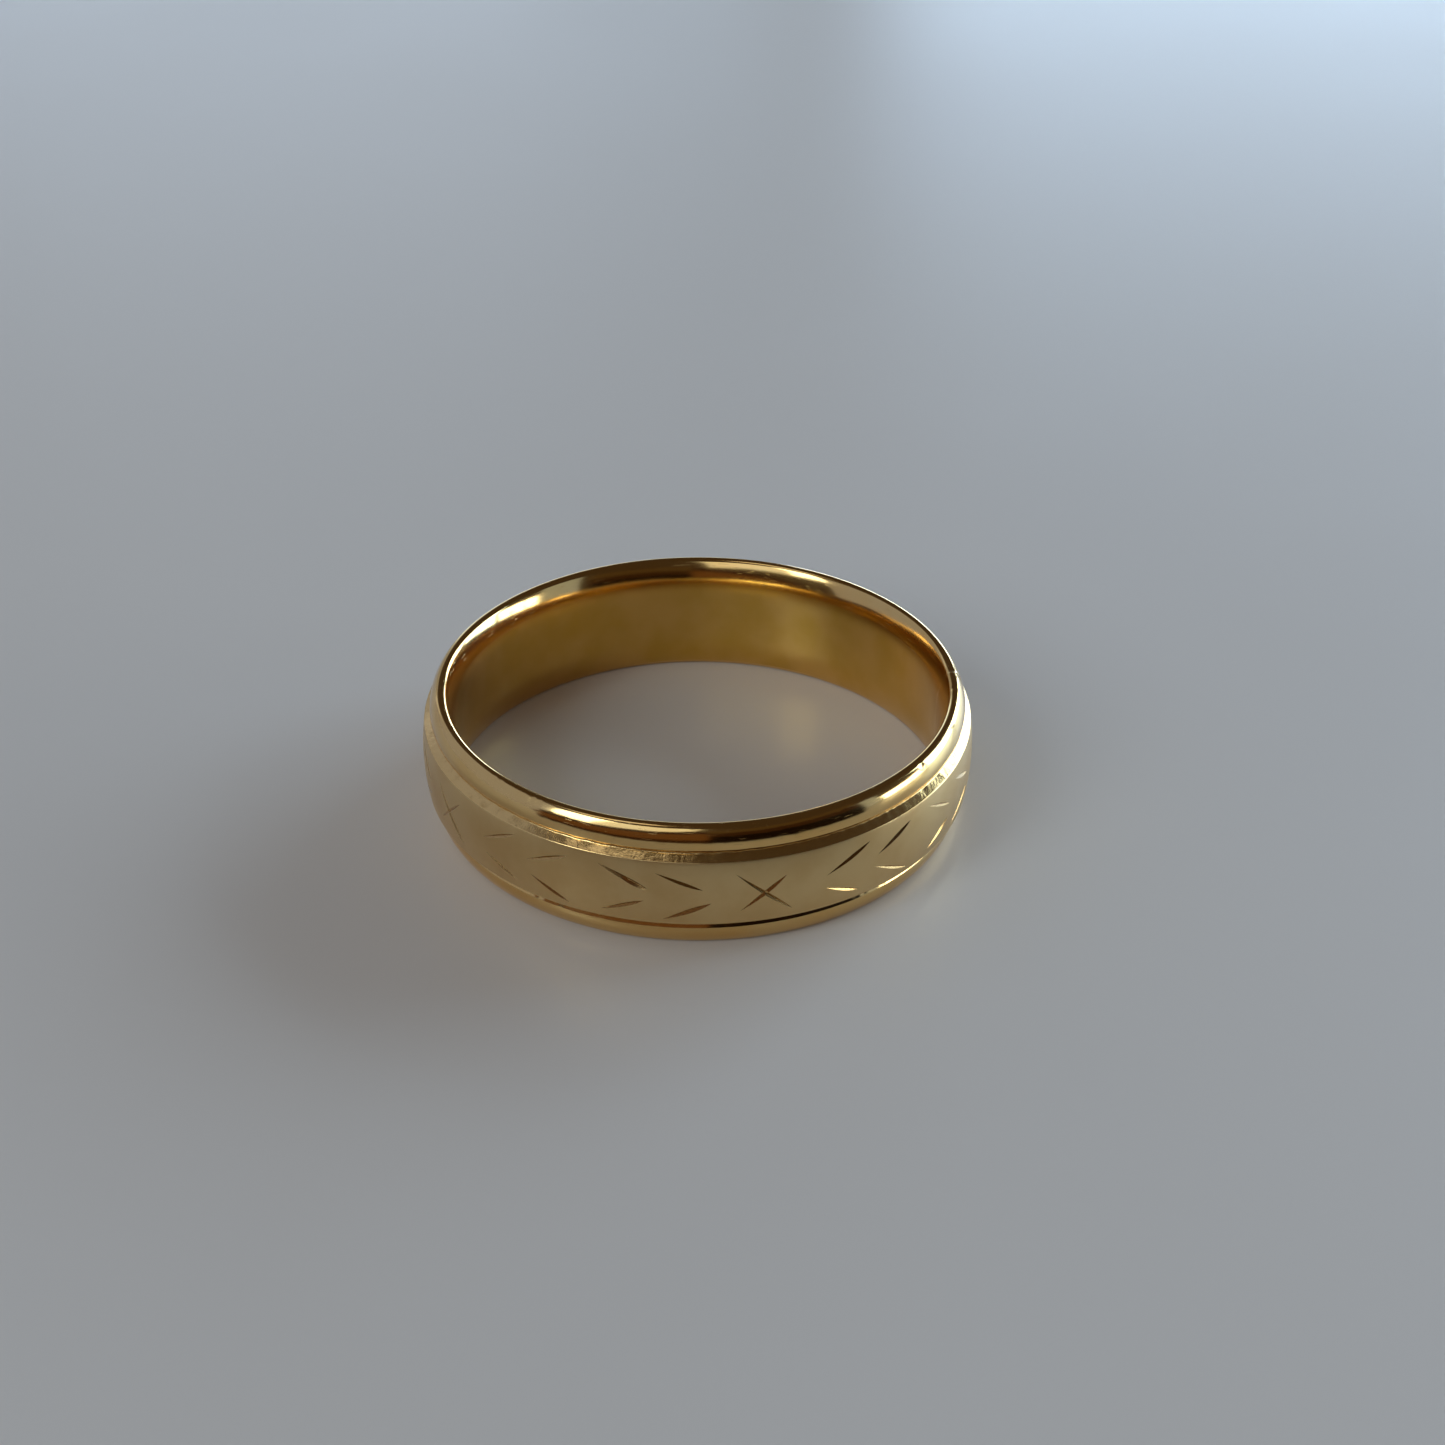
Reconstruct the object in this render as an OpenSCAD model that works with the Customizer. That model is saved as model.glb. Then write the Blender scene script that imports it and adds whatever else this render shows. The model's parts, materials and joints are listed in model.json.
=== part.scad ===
// Engraved wedding band with a comfort-fit bore.
//
// The band is one strip of gold, bent round and closed with a soldered seam.
// Its outside has a domed centre field, cut with crosses and chevrons, between
// two grooves and two polished rounded rails.
//
// Frame: the origin is the centre of the bore at mid width, +Z is the ring's
// axis, and -Y is the front. Angles round the ring are counted from the front,
// anticlockwise as seen from above.

/* [Ring] */
// Inside diameter at the straight wall of the bore (18.6 is US ring size 8 1/2)
bore_d = 18.6; // [15:0.1:22]
// Width of the band along its axis, edge to edge
band_w = 5; // [4.6:0.1:6]
// Thickness of the metal at the edge of the centre field
wall = 1.22; // [1.1:0.01:1.5]

/* [Edges] */
// How far the comfort fit reaches down the bore from each edge of the band
comfort_depth = 1.45; // [1.2:0.01:1.6]
// How far the flat on the rim stands off the bore
rim_reach = 0.51; // [0.45:0.01:0.56]
// Rounding between the comfort fit and the flat on the rim
rim_inner_r = 0.2; // [0.15:0.01:0.22]
// Width of the narrow flat that the band stands on
rim_flat = 0.06; // [0.04:0.01:0.1]
// Rounding between the flat on the rim and the side of the rail
rim_outer_r = 0.23; // [0.15:0.01:0.26]
// Slope at which that rounding runs into the side of the rail, in degrees
rim_turn = 40; // [36:1:46]

/* [Rails] */
// Width of a rail, from its groove to the edge of the band
rail_w = 0.85; // [0.8:0.01:0.9]
// How far the rails lie below the edge of the centre field
rail_drop = 0.235; // [0.2:0.005:0.26]

/* [Centre field] */
// Height of the dome above the edge of the field
dome_h = 0.11; // [0.08:0.01:0.2]
// Width of the V groove between the field and a rail
groove_w = 0.345; // [0.3:0.005:0.4]
// Depth of the groove below the edge of the field
groove_depth = 0.33; // [0.3:0.01:0.36]
// How far the groove's deepest line stands off the edge of the field
groove_lean = 0.195; // [0.15:0.005:0.25]

/* [Engraving] */
// How many times the pattern of a cross and its chevrons goes round
repeats = 5; // [2:1:5]
// Angle from the front to the middle of the first cross, in degrees
first_cross = 12; // [0:1:71]
// Length of each of the two cuts in a cross
cross_len = 2.4; // [1.6:0.1:2.5]
// Slope of the cuts in a cross, in degrees
cross_slope = 42; // [35:1:50]
// Length of each of the two cuts in a chevron
chevron_len = 1.8; // [1.2:0.1:2]
// Slope of the cuts in a chevron, in degrees
chevron_slope = 23; // [15:1:30]
// Height of a chevron's cuts above and below the middle of the field
chevron_rise = 0.63; // [0.5:0.01:0.7]
// Angle from a cross to the next chevron, in degrees
cross_gap = 17; // [15:0.5:17]
// Angle between two chevrons that open the same way, in degrees
chevron_gap = 12; // [10:0.5:12.5]
// Angle between the two middle chevrons, which open away from each other, in degrees
turn_gap = 15.5; // [13:0.5:16]
// Included angle of the engraver's V point, in degrees
v_angle = 110; // [90:5:120]

/* [Seam] */
// Angle from the front to the soldered seam, in degrees
seam_at = 93; // [91:1:94]
// Width of the solder between the two ends of the strip
seam_w = 0.12; // [0.08:0.01:0.2]

/* [Hidden] */
$fn = 180;
arc_steps = 10;
clear = 1; // how far a cutting shape runs past the metal

bore_r = bore_d / 2;
half_w = band_w / 2;
half_wall = half_w - comfort_depth;
rail_z = half_w - rail_w;
half_field = rail_z - groove_w;
field_r = bore_r + wall;
crest_r = field_r + dome_h;
rail_r = field_r - rail_drop;
groove_r = field_r - groove_depth;

// The dome is an arc through the crest and both edges of the field
dome_r = (half_field^2 + dome_h^2) / (2 * dome_h);

// The rim, from the inside out: the inner arc, the flat and the outer arc
rim_inner_at = [bore_r + rim_reach, half_w - rim_inner_r];
rim_outer_at = [rim_inner_at.x + rim_flat, half_w - rim_outer_r];

// The comfort arc touches the bore's straight wall at half_wall and runs
// smoothly into the rim's inner arc, where the line through both centres is
rise = rim_inner_at.y - half_wall;
comfort_r = (rise^2 + rim_reach^2 - rim_inner_r^2) / (2 * (rim_reach - rim_inner_r));
comfort_at = [bore_r + comfort_r, half_wall];
contact = atan2(rise, comfort_r - rim_reach);

// The side of a rail is one wide arc that leaves the outer arc at rim_turn,
// reaches out to rail_r and ends at the groove
side_r = (rail_r - rim_outer_at.x - rim_outer_r * cos(rim_turn)) / (1 - cos(rim_turn));
side_at = rim_outer_at + (rim_outer_r - side_r) * [cos(rim_turn), sin(rim_turn)];
side_end = asin((side_at.y - rail_z) / side_r);

function arc(centre, r, from, to) =
    [for (i = [0:arc_steps])
        let (a = from + (to - from) * i / arc_steps)
        centre + r * [cos(a), sin(a)]];

// Upper half of the hoop's section, from the bore round to the groove
function upper_half() = concat(
    arc(comfort_at, comfort_r, 180, 180 - contact),
    arc(rim_inner_at, rim_inner_r, 180 - contact, 90),
    arc(rim_outer_at, rim_outer_r, 90, rim_turn),
    arc(side_at, side_r, rim_turn, -side_end),
    [[groove_r, half_field + groove_lean]]);

function mirrored(points) =
    [for (i = [len(points) - 1:-1:0]) [points[i].x, -points[i].y]];

// The hoop without its centre field: bore, comfort fit, rims, rails and grooves
module hoop_section() {
    upper = upper_half();
    polygon(concat(upper, mirrored(upper)));
}

// The centre field: a bar under the arc of the dome, whose sides slope down to
// the deepest lines of the grooves
module field_section() {
    root_r = (bore_r + groove_r) / 2;
    root = half_field + groove_lean;
    tip_r = crest_r + clear;
    tip = half_field - groove_lean * (tip_r - field_r) / groove_depth;
    intersection() {
        translate([crest_r - dome_r, 0]) circle(r = dome_r);
        polygon([[root_r, -root], [groove_r, -root], [tip_r, -tip],
                 [tip_r, tip], [groove_r, root], [root_r, root]]);
    }
}

module blank() {
    rotate_extrude() hoop_section();
    rotate_extrude() field_section();
}

// One straight pass of a V point across the dome. The dome falls away from the
// pass at both ends, so at this depth the cut comes out at about the length
// asked for, widest in the middle and tapering to nothing at its ends.
module cut(at, height, length, slope) {
    depth = length^2 / (8 * crest_r);
    half_open = (depth + clear) * tan(v_angle / 2);
    lean = asin(height / dome_r);
    rotate([0, 0, at - 90])
        translate([crest_r - dome_r * (1 - cos(lean)), 0, height])
            rotate([0, -lean, 0])
                rotate([slope + 90, 0, 0])
                    linear_extrude(length + clear, center = true)
                        polygon([[-depth, 0], [clear, half_open], [clear, -half_open]]);
}

module cross(at) {
    for (side = [-1, 1]) cut(at, 0, cross_len, side * cross_slope);
}

// opens is 1 for a chevron that opens towards larger angles, -1 for the other way
module chevron(at, opens) {
    for (side = [-1, 1])
        cut(at, side * chevron_rise, chevron_len, side * opens * chevron_slope);
}

module engraving() {
    second = cross_gap + chevron_gap;
    third = second + turn_gap;
    for (i = [0:repeats - 1]) {
        start = first_cross + i * 360 / repeats;
        cross(start);
        chevron(start + cross_gap, 1);
        chevron(start + second, 1);
        chevron(start + third, -1);
        chevron(start + third + chevron_gap, -1);
    }
}

// The gap between the two ends of the strip
module seam_slot() {
    rotate([0, 0, seam_at - 90])
        translate([bore_r - clear, -seam_w / 2, -half_w - clear])
            cube([wall + dome_h + 2 * clear, seam_w, band_w + 2 * clear]);
}

// The strip of gold, its two ends standing seam_w apart
module band() {
    color([0.83, 0.66, 0.36])
        difference() {
            blank();
            engraving();
            seam_slot();
        }
}

// The solder that fills the gap between the ends, dressed flush with the band.
// It lies between a cross and a chevron, so no cut runs through it.
module solder_seam() {
    color([0.90, 0.80, 0.55])
        intersection() {
            blank();
            seam_slot();
        }
}

band();
solder_seam();
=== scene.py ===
import json
import math

import bmesh
import bpy
import numpy as np
from mathutils import Matrix, Vector
from mathutils.geometry import delaunay_2d_cdt


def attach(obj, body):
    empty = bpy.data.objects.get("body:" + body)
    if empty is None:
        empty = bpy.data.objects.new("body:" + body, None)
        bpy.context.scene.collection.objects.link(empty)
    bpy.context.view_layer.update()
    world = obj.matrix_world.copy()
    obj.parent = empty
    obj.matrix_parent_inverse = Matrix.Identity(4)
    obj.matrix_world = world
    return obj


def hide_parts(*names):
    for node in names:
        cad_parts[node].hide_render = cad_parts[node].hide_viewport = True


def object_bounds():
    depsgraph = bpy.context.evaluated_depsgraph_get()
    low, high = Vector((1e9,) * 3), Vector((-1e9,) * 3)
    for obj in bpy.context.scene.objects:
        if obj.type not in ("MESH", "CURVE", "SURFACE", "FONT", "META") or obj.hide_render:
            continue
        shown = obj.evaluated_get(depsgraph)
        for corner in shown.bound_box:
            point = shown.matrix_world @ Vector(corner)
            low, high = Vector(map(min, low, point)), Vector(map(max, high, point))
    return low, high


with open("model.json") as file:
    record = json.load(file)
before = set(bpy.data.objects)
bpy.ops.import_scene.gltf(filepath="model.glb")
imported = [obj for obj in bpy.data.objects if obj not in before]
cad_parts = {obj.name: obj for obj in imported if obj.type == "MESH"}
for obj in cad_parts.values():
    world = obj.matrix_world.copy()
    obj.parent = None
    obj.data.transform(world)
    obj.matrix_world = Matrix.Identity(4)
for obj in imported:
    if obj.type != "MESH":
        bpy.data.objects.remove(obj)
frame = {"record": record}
cad_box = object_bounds()

# Angles round the ring are counted from the front, -Y, anticlockwise as seen from above.
# The band is worked out in millimetres, as a bench jeweller would, and MM brings it to metres.
MM = 0.001

# ---------------------------------------------------------------------------------------------
# The camera
# A short telephoto held over the front of the ring, looking down at it by about a third of a
# right angle, close enough for the near rim to look larger than the far one.
# ---------------------------------------------------------------------------------------------
CAMERA_FAR = 90.83 * MM
CAMERA_RISE = math.radians(32.32)
CAMERA_ROLL = math.radians(0.34)
CAMERA_LENS = 58.06
LOOKS_AT = Vector((0.96, 0.22, 0.37)) * MM

lens = bpy.data.cameras.new("camera")
lens.lens = CAMERA_LENS
lens.sensor_width = 36
lens.clip_start = 1 * MM
lens.clip_end = 20
camera = bpy.data.objects.new("camera", lens)
camera.location = (0, -CAMERA_FAR * math.cos(CAMERA_RISE), CAMERA_FAR * math.sin(CAMERA_RISE))
aim = (LOOKS_AT - camera.location).to_track_quat("-Z", "Y").to_matrix()
camera.rotation_euler = (aim @ Matrix.Rotation(CAMERA_ROLL, 3, "Z")).to_euler()
bpy.context.collection.objects.link(camera)
bpy.context.scene.camera = camera
bpy.context.scene.view_settings.view_transform = "Standard"


# ---------------------------------------------------------------------------------------------
# The table that the ring lies on
# A smooth lacquered board, pale and a little warm. Its lacquer is glossy enough to carry a soft
# sheen from the lamps behind it.
# ---------------------------------------------------------------------------------------------
TABLE_SIDE = 3.0
TABLE_DARK = (0.69, 0.63, 0.57)
TABLE_LIGHT = (0.73, 0.67, 0.61)


class Wire:
    """A shader socket that works like a number: +, - and * with numbers or wires add Math nodes."""

    def __init__(self, finish, socket):
        self.finish = finish
        self.socket = socket

    def maths(self, operation, *values):
        return self.finish.node("ShaderNodeMath", {"operation": operation}, dict(enumerate(values)))

    def __add__(self, other):
        return self.maths("ADD", self, other)

    def __sub__(self, other):
        return self.maths("SUBTRACT", self, other)

    def __rsub__(self, other):
        return self.maths("SUBTRACT", other, self)

    def __mul__(self, other):
        return self.maths("MULTIPLY", self, other)

    __radd__ = __add__
    __rmul__ = __mul__

    def band(self, low, high):
        """0 below low, 1 above high, and a smooth rise between them."""
        return self.finish.node(
            "ShaderNodeMapRange",
            {"interpolation_type": "SMOOTHSTEP"},
            {"Value": self, "From Min": low, "From Max": high},
        )


class Finish:
    """The nodes of a material or of the world, and the one method that adds to them."""

    def __init__(self, owner):
        self.owner = owner
        owner.use_nodes = True
        self.tree = owner.node_tree
        self.tree.nodes.clear()

    def node(self, kind, settings=None, inputs=None, out=0):
        """Adds a node of a kind, makes its settings, then fills its sockets with values or wires."""
        node = self.tree.nodes.new(kind)
        for name, value in (settings or {}).items():
            setattr(node, name, value)
        for name, value in (inputs or {}).items():
            if isinstance(value, Wire):
                self.tree.links.new(value.socket, node.inputs[name])
            else:
                node.inputs[name].default_value = value
        return Wire(self, node.outputs[out]) if node.outputs else None

    def noise(self, place, scale, detail=2, roughness=0.5):
        return self.node(
            "ShaderNodeTexNoise",
            {"noise_dimensions": "3D"},
            {"Vector": place, "Scale": scale, "Detail": detail, "Roughness": roughness},
        )

    def stretched(self, place, scale, turn=0):
        """Scales a place, then turns it by some degrees about the third axis."""
        inputs = {"Vector": place, "Rotation": (0, 0, math.radians(turn)), "Scale": scale}
        return self.node("ShaderNodeMapping", {"vector_type": "POINT"}, inputs)

    def mix(self, share, a, b):
        """Blends two colours, from a to b as share goes from 0 to 1."""
        inputs = {"Factor": share, "A": (*a, 1), "B": (*b, 1)}
        return self.node("ShaderNodeMix", {"data_type": "RGBA"}, inputs, out="Result")

    def bump(self, height, distance):
        return self.node("ShaderNodeBump", None, {"Height": height, "Distance": distance})

    def surface(self, **sockets):
        inputs = {name.replace("_", " "): value for name, value in sockets.items()}
        shader = self.node("ShaderNodeBsdfPrincipled", None, inputs)
        self.node("ShaderNodeOutputMaterial", None, {"Surface": shader})
        return self.owner


def table_lacquer():
    finish = Finish(bpy.data.materials.new("table_lacquer"))
    place = finish.node("ShaderNodeTexCoord", out="Object")
    cloud = finish.noise(place, 9)
    ripple = finish.noise(place, 60, 3)
    return finish.surface(
        Base_Color=finish.mix(cloud, TABLE_DARK, TABLE_LIGHT),
        Roughness=0.30 + 0.05 * ripple,
        IOR=1.5,
    )


table_mesh = bpy.data.meshes.new("table")
table_z = cad_box[0].z
table_mesh.from_pydata(
    [(x * TABLE_SIDE / 2, y * TABLE_SIDE / 2, table_z) for x, y in ((-1, -1), (1, -1), (1, 1), (-1, 1))],
    [],
    [(0, 1, 2, 3)],
)
table_mesh.materials.append(table_lacquer())
table = bpy.data.objects.new("table", table_mesh)
bpy.context.collection.objects.link(table)


# ---------------------------------------------------------------------------------------------
# The light
# A dim room with a barred window at the right, sky behind it on the right, and a window and a
# large reflector at the front left. Low dark cards round the front give the polished rails the
# deep brown and black lines that make gold look like gold.
# ---------------------------------------------------------------------------------------------
LAMP_FAR = 1.3
CARD_FAR = 30 * MM
CARD_STEPS = 24

SKY = (0.57, 0.77, 1.0)
PALE_SKY = (0.86, 0.95, 1.0)
BLUE_WALL = (0.60, 0.78, 1.0)
BROWN = (0.12, 0.058, 0.022)
BROWN_DARK = (0.035, 0.016, 0.006)
OLIVE = (0.075, 0.050, 0.022)
BLACK = (0.008, 0.004, 0.002)
ROOM = (0.055, 0.038, 0.022)
BACKDROP = (0.34, 0.35, 0.37)


def towards(azimuth, elevation):
    """Unit vector from the ring towards an angle round it and an angle above the table."""
    a, e = math.radians(azimuth), math.radians(elevation)
    return Vector((math.sin(a) * math.cos(e), -math.cos(a) * math.cos(e), math.sin(e)))


def softbox(name, azimuth, elevation, wide, high, brightness, colour):
    """A rectangular lamp that faces the ring, as wide and high as seen from it, in degrees."""
    lamp = bpy.data.lights.new(name, "AREA")
    lamp.shape = "RECTANGLE"
    lamp.size = 2 * LAMP_FAR * math.tan(math.radians(wide) / 2)
    lamp.size_y = 2 * LAMP_FAR * math.tan(math.radians(high) / 2)
    lamp.energy = brightness * math.pi * lamp.size * lamp.size_y
    lamp.color = colour
    box = bpy.data.objects.new(name, lamp)
    way = towards(azimuth, elevation)
    box.location = way * LAMP_FAR
    box.rotation_euler = way.to_track_quat("Z", "Y").to_euler()
    box.visible_camera = False
    bpy.context.collection.objects.link(box)


def sheet_faces(rows, columns):
    """Quads of a grid of points, row by row."""
    corner = np.arange((rows - 1) * columns).reshape(rows - 1, columns)[:, :-1].ravel()
    return np.stack([corner, corner + 1, corner + columns + 1, corner + columns], axis=1)


def card_paint(name, colour):
    """A flat paint that shines with its own colour, and is clear from the side away from the ring."""
    paint = Finish(bpy.data.materials.new(name))
    return paint.surface(
        Base_Color=(0, 0, 0, 1),
        Specular_IOR_Level=0,
        Emission_Color=(*colour, 1),
        Emission_Strength=1,
        Alpha=paint.node("ShaderNodeNewGeometry", out="Backfacing"),
    )


def dark_card(name, start, end, heights, colours):
    """A curved card that stands on the table round the front, from one angle to another, and whose
    top slants between two heights. Its rows, from the table up, each have a colour of their own.
    Only reflections show it."""
    a = np.radians(np.linspace(start, end, CARD_STEPS + 1))
    top = np.linspace(*heights, CARD_STEPS + 1) * MM
    rise = table_z + np.linspace(0, 1, len(colours) + 1)[:, None] * top
    points = np.stack(np.broadcast_arrays(CARD_FAR * np.sin(a), -CARD_FAR * np.cos(a), rise), axis=-1)
    faces = sheet_faces(len(colours) + 1, CARD_STEPS + 1)
    card_mesh = bpy.data.meshes.new(name)
    card_mesh.from_pydata(points.reshape(-1, 3).tolist(), [], faces.tolist())
    for row, colour in enumerate(colours):
        card_mesh.materials.append(card_paint(f"{name}_{row}", colour))
    rows = np.repeat(np.arange(len(colours)), CARD_STEPS)
    card_mesh.polygons.foreach_set("material_index", rows.astype(np.int32))
    card = bpy.data.objects.new(name, card_mesh)
    card.visible_camera = card.visible_diffuse = card.visible_shadow = False
    bpy.context.collection.objects.link(card)


# The ring sees a dim brown room. What the camera sees past the table is plain grey.
room = Finish(bpy.data.worlds.new("room"))
seen = room.node("ShaderNodeLightPath", out="Is Camera Ray")
air = room.node("ShaderNodeBackground", None, {"Color": room.mix(seen, ROOM, BACKDROP)})
room.node("ShaderNodeOutputWorld", None, {"Surface": air})
bpy.context.scene.world = room.owner

# The window at the right: six panes, with a narrow bar between each two
PANE = 7
PANE_STEP = 8
for column in range(3):
    for row in range(2):
        azimuth, elevation = 81 + PANE_STEP * column, 1 + PANE_STEP * row
        softbox(f"window_{column}{row}", azimuth, elevation, PANE, PANE, 7.2, PALE_SKY)

# The sky behind, in four stretches: how high each stands, how tall it is, and how bright
SKY_PANES = ((14, 30, 7.8), (14, 30, 7.8), (6, 13, 7.0), (8, 17, 1.6))
for pane, (elevation, high, brightness) in enumerate(SKY_PANES):
    softbox(f"sky_back_{pane}", 114 + 25 * pane, elevation, 22, high, brightness, SKY)

# The rest of the room
softbox("wall_right", 66, 10, 20, 30, 0.5, BLUE_WALL)
softbox("window_left", -53, 34, 16, 30, 4.4, (0.80, 0.92, 1.0))
softbox("reflector_left", -25, 34, 38, 28, 1.15, (0.80, 0.90, 1.0))
softbox("wall_left", -104, 26, 80, 56, 0.42, (0.66, 0.76, 1.0))
softbox("wall_back", -158, 10, 36, 30, 0.35, (0.75, 0.85, 1.0))
softbox("ceiling_left", -88, 73, 20, 20, 0.85, (0.95, 0.97, 1.0))

dark_card("card_left", -55, 3, (9, 19), (BROWN_DARK, BROWN, BROWN, BROWN_DARK))
dark_card("card_right", 3, 58, (19, 20), (BLACK, BLACK, BROWN_DARK, OLIVE))

# ---------------------------------------------------------------------------------------------
# The strip of gold
# 14-karat yellow gold, rolled and milled to one section: a domed centre field between two
# grooves and two rounded rails, with a comfort fit eased into both edges of the bore. It is
# engraved and bent round here as it was on the bench.
# ---------------------------------------------------------------------------------------------
mounts = {mount["name"]: mount for mount in frame["record"]["mounts"]}
BORE_R = mounts["finger_bore"]["dims"]["r_mm"]
HALF_WALL = mounts["finger_bore"]["dims"]["length_mm"] / 2
HALF_W = (cad_box[1].z - cad_box[0].z) / 2 / MM
WALL = 1.22
DOME_H = 0.11
RAIL_W = 0.85
RAIL_DROP = 0.235
GROOVE_W = 0.345
GROOVE_DEPTH = 0.33
GROOVE_LEAN = 0.195
RIM_REACH = 0.51
RIM_FLAT = 0.06
RIM_INNER_R = 0.2
RIM_OUTER_R = 0.23
RIM_TURN = 40
LIP_EASED = 0.05  # how far polishing has rounded the groove's lip and bottom
RAIL_EASED = 0.03  # and the edge of the rail beside it

FIELD_R = BORE_R + WALL
CREST_R = FIELD_R + DOME_H
RAIL_Z = HALF_W - RAIL_W
HALF_FIELD = RAIL_Z - GROOVE_W
RAIL_R = FIELD_R - RAIL_DROP
GROOVE_R = FIELD_R - GROOVE_DEPTH
DOME_R = (HALF_FIELD**2 + DOME_H**2) / (2 * DOME_H)

SEAM_AT = math.radians(93)
SEAM_HALF = 0.12 / 2
STRIP_LENGTH = FIELD_R * 2 * (math.pi - math.asin(SEAM_HALF / FIELD_R))
STEPS_ROUND = 660
ACROSS = 25


def turned(angle, r, z):
    """Point at an angle round the ring, r from its axis and z across it, in metres."""
    return np.stack([r * np.sin(angle), -r * np.cos(angle), z], axis=-1) * MM


def bent(x, r, z):
    """Bends the flat strip round: x runs along it at the edge of the field, and each depth r stops half
    a seam short of the seam's plane, so the strip's two ends come out flat and parallel."""
    short = np.arcsin(SEAM_HALF / r)
    return turned(SEAM_AT + short + x / STRIP_LENGTH * 2 * (math.pi - short), r, z)


def dome(z):
    """Height of the centre field: an arc across the strip through the crest and both edges."""
    return CREST_R - DOME_R + np.sqrt(DOME_R**2 - z**2)


def arc(centre, radius, start, end, steps):
    """Points on an arc, from one angle to another, in degrees."""
    a = np.radians(np.linspace(start, end, steps + 1))[:, None]
    return np.array(centre) + radius * np.hstack([np.cos(a), np.sin(a)])


def eased(before, corner, after, radius, steps=4):
    """Points that round a corner: the arc that touches both of its sides."""
    before, corner, after = (np.array(p, float) for p in (before, corner, after))
    a = (before - corner) / np.linalg.norm(before - corner)
    b = (after - corner) / np.linalg.norm(after - corner)
    half = math.acos(np.clip(a @ b, -1, 1)) / 2
    middle = (a + b) / np.linalg.norm(a + b)
    centre = corner + middle * radius / math.sin(half)
    sweep = np.linspace(-1, 1, steps + 1)[:, None] * (math.pi / 2 - half)
    across = (a - b) / np.linalg.norm(a - b)
    return centre + radius * (-middle * np.cos(sweep) - across * np.sin(sweep))


def upper_section():
    """Section of the strip's upper half, from the edge of the field over the groove, rail and rim to
    the middle of the bore: arcs that run into each other, with corners eased as polishing leaves them."""
    inner_at = np.array((BORE_R + RIM_REACH, HALF_W - RIM_INNER_R))
    outer_at = np.array((BORE_R + RIM_REACH + RIM_FLAT, HALF_W - RIM_OUTER_R))
    rise = inner_at[1] - HALF_WALL
    comfort_r = (rise**2 + RIM_REACH**2 - RIM_INNER_R**2) / (2 * (RIM_REACH - RIM_INNER_R))
    contact = math.degrees(math.atan2(rise, comfort_r - RIM_REACH))
    turn = math.radians(RIM_TURN)
    side_r = (RAIL_R - outer_at[0] - RIM_OUTER_R * math.cos(turn)) / (1 - math.cos(turn))
    side_at = outer_at + (RIM_OUTER_R - side_r) * np.array((math.cos(turn), math.sin(turn)))
    side_end = math.degrees(math.asin((side_at[1] - RAIL_Z) / side_r))
    side = arc(side_at, side_r, -side_end, RIM_TURN, 14)
    before_edge = HALF_FIELD - 0.1
    inside = (dome(before_edge), before_edge)
    edge = (FIELD_R, HALF_FIELD)
    bottom = (GROOVE_R, HALF_FIELD + GROOVE_LEAN)
    lip = eased(inside, edge, bottom, LIP_EASED)
    lip[0, 0] = dome(lip[0, 1])
    return np.concatenate(
        [
            lip,
            eased(edge, bottom, side[0], LIP_EASED, 5),
            eased(bottom, side[0], side[1], RAIL_EASED),
            side[1:],
            arc(outer_at, RIM_OUTER_R, RIM_TURN, 90, 8)[1:],
            arc(inner_at, RIM_INNER_R, 90, 180 - contact, 8),
            arc((BORE_R + comfort_r, HALF_WALL), comfort_r, 180 - contact, 180, 14)[1:],
            [(BORE_R, HALF_WALL - 0.06), (BORE_R, 0)],  # a short row first keeps the shading straight
        ]
    )


upper = upper_section()
EDGE_Z = upper[0, 1]

# The lower groove lies a little too low, which leaves its rail narrower. The shift fades out over
# the side of the rail and is nothing inside the rim, so the bore and the rim stay in place.
SAG = 0.06
SAG_ENDS = HALF_W - 0.3
lower = upper[::-1] * (1, -1)
fade = np.clip((SAG_ENDS + lower[:, 1]) / (SAG_ENDS - RAIL_Z), 0, 1)
fade[lower[:, 0] < BORE_R + 0.3] = 0
lower = lower - fade[:, None] * (dome(EDGE_Z) - dome(EDGE_Z + SAG), SAG)
edges = np.concatenate([upper, lower[1:], upper[:1] * (1, -1)])
along = np.linspace(0, STRIP_LENGTH, STEPS_ROUND + 1)


# The engraver's pattern: a cross, then two chevrons that open towards larger angles and two that
# open the other way, five times round. Each cut is one straight pass of a V point.
REPEATS = 5
FIRST_CROSS = 12
CROSS_LENGTH = 2.5
CROSS_DEPTH = 0.062
CROSS_SLOPE = 42
CHEVRON_LENGTH = 1.75
CHEVRON_DEPTH = 0.056
CHEVRON_SLOPE = 23
CHEVRON_RISE = 0.63
CHEVRONS = ((17, 1), (29, 1), (44.5, -1), (56.5, -1))
PATTERN_DROP = -0.09
V_HALF = math.radians(55)

# The scatter of hand work, as standard deviations: millimetres, degrees and a share of the length
OFF_ALONG = 0.08
OFF_ACROSS = 0.04
OFF_SLOPE = 2.0
OFF_LENGTH = 0.10
OFF_DEPTH = 0.010
TAKEN_AGAIN = 46  # the cut where the point slipped and was taken through again
rng = np.random.default_rng(14)


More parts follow.
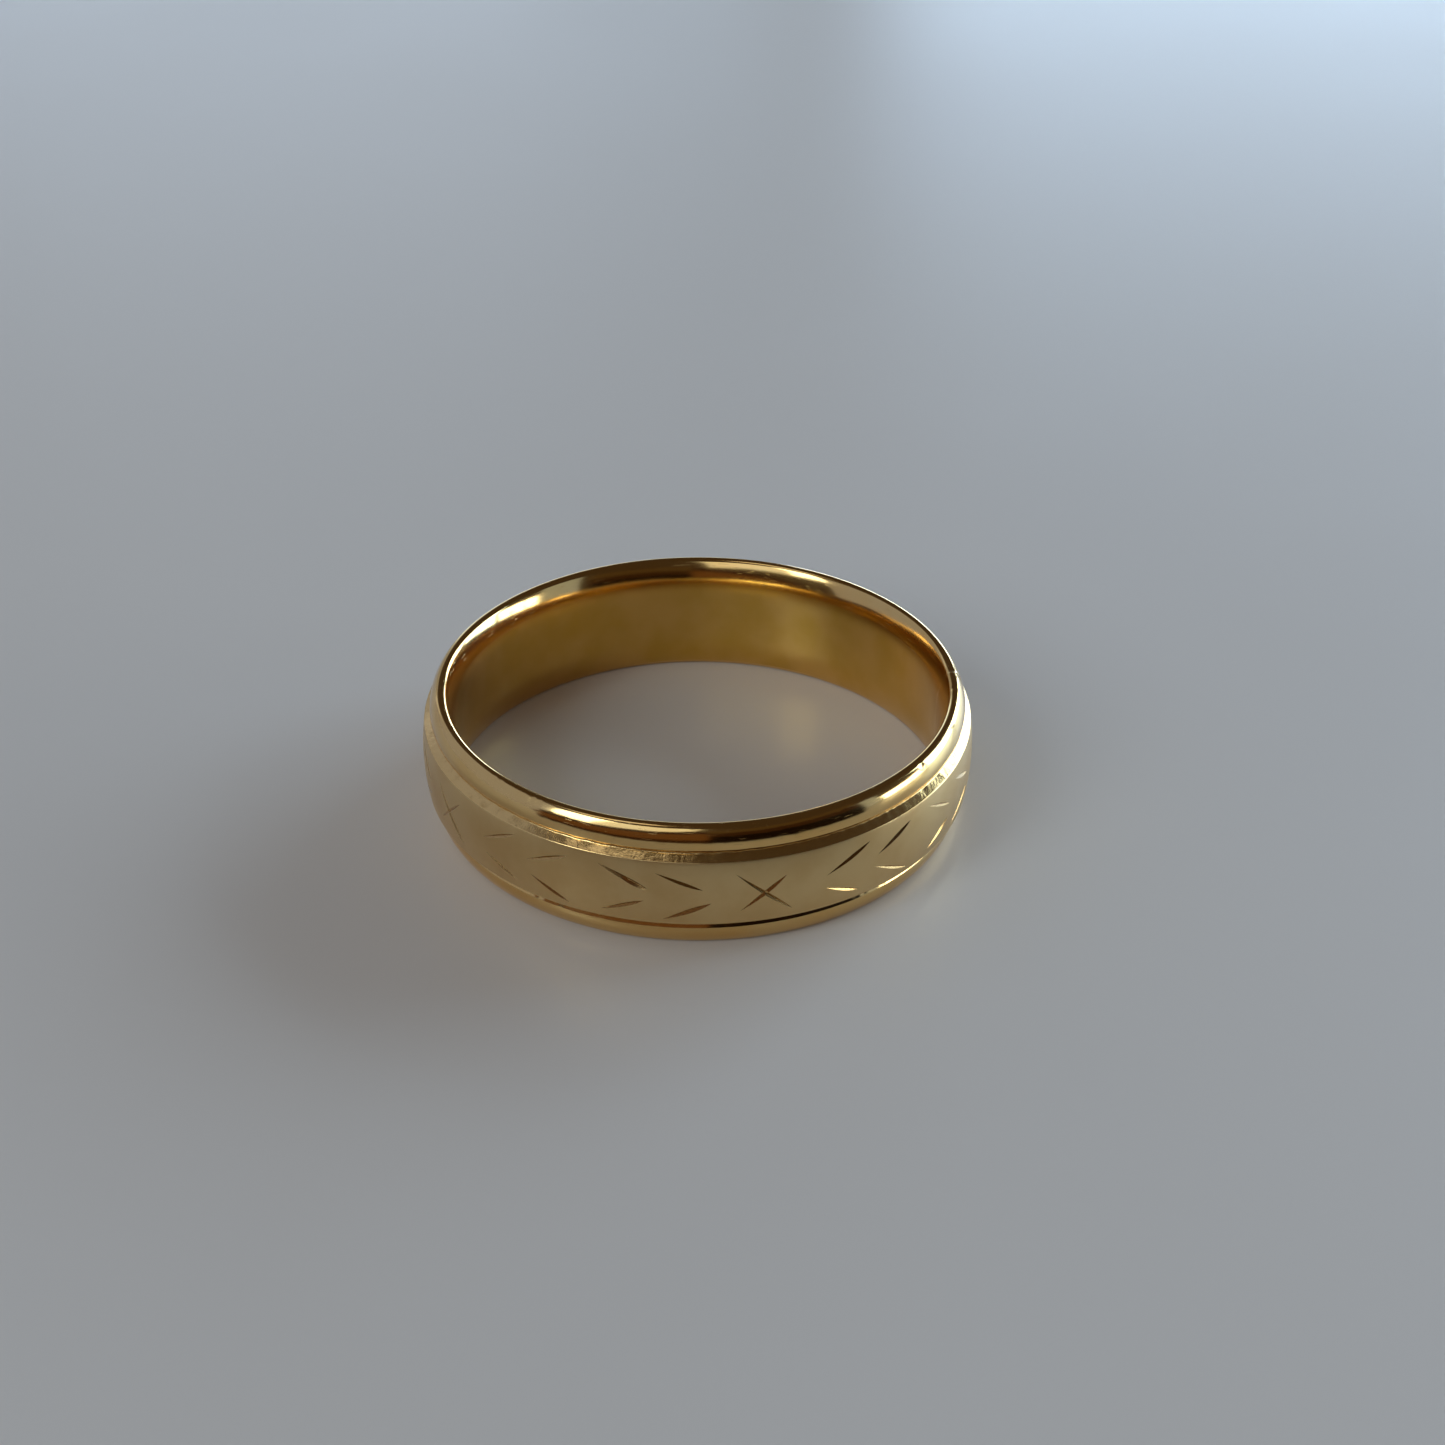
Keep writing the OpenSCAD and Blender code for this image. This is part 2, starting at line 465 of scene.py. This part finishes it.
def engraver_cuts():
    """Every cut as (place along the strip, place across it, slope, length, depth), each a little off
    its mark, as hand work is."""
    cuts = []
    for turn in range(REPEATS):
        cross = FIRST_CROSS + 360 / REPEATS * turn
        marks = [(cross, 0, side * CROSS_SLOPE, CROSS_LENGTH, CROSS_DEPTH) for side in (1, -1)]
        for gap, opens in CHEVRONS:
            for side in (1, -1):
                slope = side * opens * CHEVRON_SLOPE
                marks.append((cross + gap, side * CHEVRON_RISE, slope, CHEVRON_LENGTH, CHEVRON_DEPTH))
        for at, across, slope, length, depth in marks:
            off = rng.normal(size=4)
            x = (math.radians(at) - SEAM_AT) % (2 * math.pi) * FIELD_R
            cuts.append(
                (
                    x + OFF_ALONG * off[0],
                    across + PATTERN_DROP + OFF_ACROSS * off[1],
                    math.radians(slope + OFF_SLOPE * off[2]),
                    length * (1 + OFF_LENGTH * np.clip(off[3], -1.5, 1.5)),
                    depth + OFF_DEPTH * rng.normal(),
                )
            )
    again = cuts[TAKEN_AGAIN]
    cuts.append((again[0] + 0.28, again[1] - 0.16, again[2] - 0.05, 1.25, 0.065))
    return cuts


def cut_depth(along_cut, length, depth):
    """Depth of the V point along its pass: nothing at both ends, deepest a little past the middle."""
    t = np.clip(along_cut / (length / 2), -1, 1)
    return depth * (1 - t**2) * (1 + 0.35 * t)


def into_cut(x, z, cut):
    """Coordinates along and across one cut."""
    dx, dz = x - cut[0], z - cut[1]
    c, s = math.cos(cut[2]), math.sin(cut[2])
    return dx * c + dz * s, dz * c - dx * s


def engraved_depth(x, z, cuts):
    """How far below the dome the metal lies: the deepest of all the V cuts at that point."""
    deepest = np.zeros_like(x)
    for cut in cuts:
        t, n = into_cut(x, z, cut)
        near = np.abs(t) < cut[3] / 2
        depth = cut_depth(t, cut[3], cut[4]) - np.abs(n) / math.tan(V_HALF)
        deepest = np.where(near, np.maximum(deepest, depth), deepest)
    return deepest


def cut_outline(cut, steps=22):
    """Both edges and the bottom line of a cut, as three rows of points from end to end."""
    t = -np.cos(np.linspace(0, math.pi, steps + 1)) * cut[3] / 2
    half = cut_depth(t, cut[3], cut[4]) * math.tan(V_HALF)
    c, s = math.cos(cut[2]), math.sin(cut[2])
    sides = (half, 0 * half, -half)
    return [np.stack([cut[0] + t * c - n * s, cut[1] + t * s + n * c], axis=1) for n in sides]


def field_points(cuts, spacing=0.13):
    """Rows of points over the field, every other row set off by half a step, clear of the cuts."""
    rows = round(2 * EDGE_Z / spacing)
    points = []
    for row in range(1, rows):
        z = -EDGE_Z + 2 * EDGE_Z * row / rows
        x = np.arange(spacing * (0.75 if row % 2 else 1.25), STRIP_LENGTH - spacing / 2, spacing)
        points.append(np.stack([x, np.full_like(x, z)], axis=1))
    points = np.concatenate(points)
    clear = np.ones(len(points), bool)
    for cut in cuts:
        t, n = into_cut(points[:, 0], points[:, 1], cut)
        reach = cut_depth(t, cut[3], cut[4]) * math.tan(V_HALF) + spacing * 0.35
        clear &= (np.abs(t) > cut[3] / 2 + spacing * 0.3) | (np.abs(n) > reach)
    return points[clear]


def engraved_field(cuts):
    """The centre field as triangles whose edges follow every cut, drawn on the flat strip."""
    points, lines = [], []

    def add(row, closed=False):
        start = sum(len(p) for p in points)
        points.append(np.asarray(row))
        count = len(row)
        lines.extend((start + i, start + (i + 1) % count) for i in range(count if closed else count - 1))

    across = np.linspace(-EDGE_Z, EDGE_Z, ACROSS)
    border = np.concatenate(
        [
            np.stack([along, np.full_like(along, -EDGE_Z)], axis=1),
            np.stack([np.full(ACROSS - 2, STRIP_LENGTH), across[1:-1]], axis=1),
            np.stack([along[::-1], np.full_like(along, EDGE_Z)], axis=1),
            np.stack([np.zeros(ACROSS - 2), across[-2:0:-1]], axis=1),
        ]
    )
    add(border, closed=True)
    for cut in cuts:
        left, bottom, right = cut_outline(cut)
        add(np.concatenate([left, right[-2:0:-1]]), closed=True)
        add(bottom[1:-1])
    points.append(field_points(cuts))
    flat = np.concatenate(points)
    places, _, faces, *_ = delaunay_2d_cdt([Vector(p) for p in flat.tolist()], lines, [], 0, 1e-6)
    return np.array([(p.x, p.y) for p in places]), faces


def wavy(x, length, strength, seed):
    """A slow random wave along the strip: seven sines of mixed lengths round a given one."""
    own = np.random.default_rng(seed)
    wave = np.zeros_like(x)
    for _ in range(7):
        k = 2 * math.pi / (length * own.uniform(0.6, 1.7))
        wave = wave + np.sin(k * x + own.uniform(0, 2 * math.pi))
    return strength * wave / math.sqrt(7)


def unwrapped(section):
    """Length along a section from its first point, for the second number of the strip's UV map."""
    steps = np.linalg.norm(np.diff(section, axis=0), axis=1)
    return np.concatenate([[0], np.cumsum(steps)])


# Knocks that wear has left on the upper rail: the angle round the ring in degrees, the place on the
# section, then the length along the ring, the width across it and the depth in millimetres.
UPPER_SHOULDER = (RAIL_R - 0.24, HALF_W - 0.08)
UPPER_RIM = (BORE_R + RIM_REACH + 0.03, HALF_W)
KNOCKS = (
    (-47.6, UPPER_SHOULDER, 0.09, 0.10, 0.016),
    (-45.6, UPPER_SHOULDER, 0.08, 0.13, 0.013),
    (-36.2, UPPER_SHOULDER, 0.09, 0.15, 0.020),
    (-34.6, UPPER_SHOULDER, 0.08, 0.12, 0.014),
    (29.0, UPPER_SHOULDER, 0.08, 0.10, 0.010),
    (53.5, UPPER_SHOULDER, 0.09, 0.13, 0.018),
    (85.5, UPPER_RIM, 0.08, 0.20, 0.014),
    (92.2, UPPER_SHOULDER, 0.16, 0.20, 0.012),
)
RAIL_CORE = (RAIL_R - 0.35, HALF_W - 0.45)


def knocked(x, r, z):
    """Presses each knock in towards the core of the rail, as deep as a bell curve at that distance."""
    azimuth = np.degrees(SEAM_AT + x / FIELD_R)
    for at, place, long, wide, depth in KNOCKS:
        core_r, core_z = RAIL_CORE[0], math.copysign(RAIL_CORE[1], place[1])
        off = np.radians((azimuth - at + 180) % 360 - 180) * FIELD_R
        share = np.exp(-((off / long) ** 2) - ((r - place[0]) ** 2 + (z - place[1]) ** 2) / wide**2)
        far = np.maximum(np.hypot(core_r - r, core_z - z), 0.05)
        r = r + depth * share * (core_r - r) / far
        z = z + depth * share * (core_z - z) / far
    return r, z


def uneven(x, r, z):
    """Lets the grooves and the rails wander as hand work does, and chatters the bottom of the grooves."""
    side = np.sign(z)
    height = np.abs(z)
    rail = np.exp(-(((r - RAIL_R + 0.05) / 0.2) ** 2)) * (height > RAIL_Z)
    groove = np.exp(-(((r - GROOVE_R) / 0.07) ** 2)) * (height < RAIL_Z) * (height > HALF_FIELD)
    sway = wavy(x + 40 * (side > 0), 5, 0.004, 3) + wavy(x + 3 * z, 1.1, 0.0008, 8)
    chatter = wavy(x * side, 0.55, 0.012, 4)
    r = r - rail * np.abs(sway) - groove * np.abs(chatter)
    z = z + side * groove * wavy(x + 9 * side, 0.8, 0.010, 5)
    return r, z


# What each face of the strip is finished as
POLISHED, SATIN, CUT, GROOVE, BORE = range(5)
FIELD_TURN = 0.006  # how far the field's satin reaches down over the lip of a groove
LIP_POLISH = 0.045  # and how far the polish after it
BORE_POLISH = 0.05  # how far off the bore the polish of the upper rim ends
# The lower rim lies on the table: the bore's darker satin reaches further up it, as painted shade towards
# the table.
LOWER_BORE_REACH = 0.3  # and that of the lower rim


def row_finishes():
    """The finish of each row of the section, told from where it lies. The polish reaches over the lip
    into the groove, and the bore's satin, with its painted shade, runs further out over the lower comfort
    fit, by the table."""
    middle = (edges[:-1] + edges[1:]) / 2
    r, z = middle[:, 0], middle[:, 1]
    field = r > FIELD_R - FIELD_TURN
    groove = (np.abs(z) < RAIL_Z - 0.01) & (r > GROOVE_R - 0.1) & (r < FIELD_R - LIP_POLISH)
    bore = r < BORE_R + np.where(z > 0, BORE_POLISH, LOWER_BORE_REACH)
    return np.select([field, groove, bore], [SATIN, GROOVE, BORE], POLISHED)


def joined(name, parts):
    """One closed mesh from parts that share borders: each part is its points, faces, UV and finishes."""
    points = np.concatenate([part[0] for part in parts])
    faces, start = [], 0
    for part in parts:
        faces += [tuple(start + i for i in face) for face in part[1]]
        start += len(part[0])
    mesh = bpy.data.meshes.new(name)
    mesh.from_pydata(points.tolist(), [], faces)
    corners = np.empty(len(mesh.loops), np.int32)
    mesh.loops.foreach_get("vertex_index", corners)
    uv = np.concatenate([part[2] for part in parts])[corners]
    mesh.uv_layers.new(name="strip").data.foreach_set("uv", uv.astype(np.float32).ravel())
    finish_of = np.concatenate([part[3] for part in parts])
    mesh.polygons.foreach_set("material_index", finish_of.astype(np.int32))
    work = bmesh.new()
    work.from_mesh(mesh)
    bmesh.ops.remove_doubles(work, verts=work.verts, dist=1e-4 * MM)
    bmesh.ops.recalc_face_normals(work, faces=work.faces)
    work.to_mesh(mesh)
    work.free()
    mesh.shade_smooth()
    mesh.set_sharp_from_angle(angle=math.radians(17))
    return mesh


def outside_part():
    """Everything but the centre field, as one sheet: rows across the strip, columns along it. Its first
    and last rows, where the field joins on, keep their true places."""
    rows, columns = len(edges), len(along)
    x = np.repeat(along[None, :], rows, axis=0)
    r = np.repeat(edges[:, :1], columns, axis=1)
    z = np.repeat(edges[:, 1:], columns, axis=1)
    r, z = uneven(x, r, z)
    r, z = knocked(x, r, z)
    r[[0, -1]], z[[0, -1]] = edges[[0, -1], :1], edges[[0, -1], 1:]
    v = np.repeat(unwrapped(edges)[:, None], columns, axis=1)
    faces = sheet_faces(rows, columns).tolist()
    uv = np.stack([x, v], axis=-1).reshape(-1, 2)
    return bent(x, r, z).reshape(-1, 3), faces, uv, np.repeat(row_finishes(), columns - 1)


def field_part():
    """The engraved field, dug out as deep as the cuts go and laid on the dome."""
    cuts = engraver_cuts()
    flat, faces = engraved_field(cuts)
    dug = engraved_depth(flat[:, 0], flat[:, 1], cuts)
    middle = flat[np.array(faces)].mean(axis=1)
    inside = engraved_depth(middle[:, 0], middle[:, 1], cuts) > 1e-5
    points = bent(flat[:, 0], dome(flat[:, 1]) - dug, flat[:, 1])
    return points, faces, flat - (0, EDGE_Z), np.where(inside, CUT, SATIN)


def end_part(outside, at, column):
    """One flat end of the strip, bordered by the outside's last column and by the dome."""
    across = np.linspace(-EDGE_Z, EDGE_Z, ACROSS)[1:-1]
    border = outside.reshape(len(edges), len(along), 3)[:, column]
    skin = np.concatenate([border, bent(np.full_like(across, at), dome(across), across)])
    return skin, [tuple(range(len(skin)))], np.zeros((len(skin), 2)), [POLISHED]


def band_parts():
    outside = outside_part()
    ends = [end_part(outside[0], at, column) for at, column in ((0, 0), (STRIP_LENGTH, -1))]
    return [outside, field_part(), *ends]


GOLD_PALE = (0.74, 0.53, 0.25)
GOLD_GREY = (0.68, 0.46, 0.20)
GOLD = (0.78, 0.53, 0.22)
GOLD_WARM = (0.76, 0.48, 0.17)
# Deeper, darker golds for the bore: painted shade inside the ring.
GOLD_BORE_SHADE = (0.76, 0.47, 0.13)
GOLD_BORE_SHADE_DEEP = (0.66, 0.40, 0.07)
GOLD_TARNISHED = (0.55, 0.34, 0.12)
# Colours of the V cuts, darker than the gold round them: partly grime, partly painted shade in the cuts.
CUT_GRIME_AND_SHADE = (0.62, 0.40, 0.16)
CUT_GRIME_AND_SHADE_DEEP = (0.44, 0.27, 0.10)


def scratches(finish, place, turn, length, spacing, share):
    """Fine scratches along the strip: long thin noise, of which only the highest ridges count. Each turn
    looks the noise up in another place, so that two sets of scratches differ."""
    way = finish.stretched(place, (1 / length, 1 / spacing, 1), turn)
    return finish.noise(way, 1, 1).band(1 - share, 1.02 - share)


def gold_polished():
    """The rails and rims: a bright polish, with hairlines and a few scratches along the strip."""
    finish = Finish(bpy.data.materials.new("gold_polished"))
    place = finish.node("ShaderNodeUVMap", {"uv_map": "strip"})
    tone = finish.noise(place, 0.35, 3)
    hair = finish.noise(finish.stretched(place, (0.7, 26, 1)), 1, 2)
    scuff = scratches(finish, place, 24, 1.1, 0.03, 0.28) + scratches(finish, place, -38, 0.8, 0.03, 0.27)
    return finish.surface(
        Base_Color=finish.mix(tone.band(0.3, 0.75), GOLD, GOLD_WARM),
        Metallic=1.0,
        Roughness=0.075 + 0.05 * tone + 0.05 * hair,
        Normal=finish.bump(hair * 0.6 - scuff * 0.8, 0.0009 * MM),
    )


def gold_satin():
    """The centre field: a fine-grained satin, scuffed along the strip and a little pitted."""
    finish = Finish(bpy.data.materials.new("gold_satin"))
    place = finish.node("ShaderNodeUVMap", {"uv_map": "strip"})
    tone = finish.noise(place, 0.5, 4)
    grain = finish.noise(place, 22, 3, 0.6)
    pits = finish.noise(place, 7, 2).band(0.70, 0.74)
    scuff = (
        scratches(finish, place, 12, 1.4, 0.035, 0.27)
        + scratches(finish, place, 55, 1.0, 0.035, 0.26)
        + scratches(finish, place, -47, 1.2, 0.035, 0.26)
        + scratches(finish, place, 88, 0.9, 0.035, 0.25)
    )
    return finish.surface(
        Base_Color=finish.mix(tone.band(0.35, 0.7), GOLD_PALE, GOLD_GREY),
        Metallic=1.0,
        Roughness=0.25 + 0.10 * tone + 0.10 * grain,
        Normal=finish.bump(grain - scuff * 0.8 - pits * 1.5, 0.0016 * MM),
    )


def gold_cut():
    """The V cuts: smooth and shiny from the tool, coloured darker than the gold round them for grime and
    as painted shade in the cuts, and a little darker again where the tool dragged.
    """
    finish = Finish(bpy.data.materials.new("gold_cut"))
    place = finish.node("ShaderNodeUVMap", {"uv_map": "strip"})
    drag = finish.noise(place, 18, 2)
    return finish.surface(
        Base_Color=finish.mix(drag.band(0.3, 0.7), CUT_GRIME_AND_SHADE, CUT_GRIME_AND_SHADE_DEEP),
        Metallic=1.0,
        Roughness=0.15 + 0.10 * drag,
        Normal=finish.bump(drag, 0.001 * MM),
    )


def gold_groove():
    """The grooves: cut bright, with the tool's chatter, and dirty in places."""
    finish = Finish(bpy.data.materials.new("gold_groove"))
    place = finish.node("ShaderNodeUVMap", {"uv_map": "strip"})
    chatter = finish.noise(finish.stretched(place, (5, 4, 1)), 1, 3, 0.65)
    dirt = finish.noise(place, 2.3, 4, 0.65)
    return finish.surface(
        Base_Color=finish.mix(dirt.band(0.5, 0.8), GOLD, GOLD_TARNISHED),
        Metallic=1.0,
        Roughness=0.12 + 0.16 * dirt,
        Normal=finish.bump(chatter, 0.012 * MM),
    )


def gold_bore():
    """The bore: a soft satin, deeper in colour, with hairlines along the strip. Its deeper, darker colour
    is painted shade inside the ring.
    """
    finish = Finish(bpy.data.materials.new("gold_bore"))
    place = finish.node("ShaderNodeUVMap", {"uv_map": "strip"})
    tone = finish.noise(place, 0.4, 3)
    hair = finish.noise(finish.stretched(place, (0.5, 16, 1)), 1, 3)
    return finish.surface(
        Base_Color=finish.mix(tone.band(0.3, 0.75), GOLD_BORE_SHADE, GOLD_BORE_SHADE_DEEP),
        Metallic=1.0,
        Roughness=0.15 + 0.10 * tone + 0.05 * hair,
        Normal=finish.bump(hair, 0.0008 * MM),
    )


def piece(name, mesh, materials, node):
    """Puts a finished mesh into the scene, in place of its CAD node."""
    for material in materials:
        mesh.materials.append(material)
    made = bpy.data.objects.new(name, mesh)
    bpy.context.collection.objects.link(made)
    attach(made, "root")
    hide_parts(node)


finishes = (gold_polished(), gold_satin(), gold_cut(), gold_groove(), gold_bore())
piece("band_gold", joined("band_gold", band_parts()), finishes, "band")


# ---------------------------------------------------------------------------------------------
# The seam
# A thin film of gold solder, a slightly paler alloy, run in between the two ends of the strip
# and dressed nearly flush. It has drawn in a little as it set.
# ---------------------------------------------------------------------------------------------
SEAM_SUNK = 0.003
SOLDER_LIGHT = (0.80, 0.57, 0.27)
SOLDER_DARK = (0.76, 0.53, 0.24)


def solder_parts():
    """The strip's own section carried across the gap, drawn in most at the middle of the gap."""
    across = np.linspace(-EDGE_Z, EDGE_Z, ACROSS)[1:-1]
    section = np.concatenate([edges, np.stack([dome(across), across], axis=1)])
    way = np.roll(section, -1, axis=0) - np.roll(section, 1, axis=0)
    inwards = np.stack([-way[:, 1], way[:, 0]], axis=1) / np.linalg.norm(way, axis=1)[:, None]
    t = np.linspace(-1, 1, 7)
    sunk = SEAM_SUNK * (1 - t**2)
    r = section[:, :1] + inwards[:, :1] * sunk
    z = section[:, 1:] + inwards[:, 1:] * sunk
    skin = turned(SEAM_AT + np.arcsin(SEAM_HALF * t / r), r, z)
    ring = np.concatenate([skin, skin[:1]])
    uv = np.stack(np.meshgrid(t * SEAM_HALF, np.append(unwrapped(section), 0)), axis=-1)
    rows, columns = ring.shape[:2]
    parts = [
        (
            ring.reshape(-1, 3),
            sheet_faces(rows, columns).tolist(),
            uv.reshape(-1, 2),
            np.zeros((rows - 1) * (columns - 1)),
        )
    ]
    for column in (0, -1):
        parts.append((skin[:, column], [tuple(range(len(skin)))], np.zeros((len(skin), 2)), [0]))
    return parts


def solder_polished():
    finish = Finish(bpy.data.materials.new("solder_polished"))
    place = finish.node("ShaderNodeUVMap", {"uv_map": "strip"})
    tone = finish.noise(place, 3, 3)
    return finish.surface(
        Base_Color=finish.mix(tone, SOLDER_LIGHT, SOLDER_DARK),
        Metallic=1.0,
        Roughness=0.18 + 0.12 * tone,
    )


solder = joined("seam_solder", solder_parts())
piece("seam_solder", solder, [solder_polished()], "solder_seam")
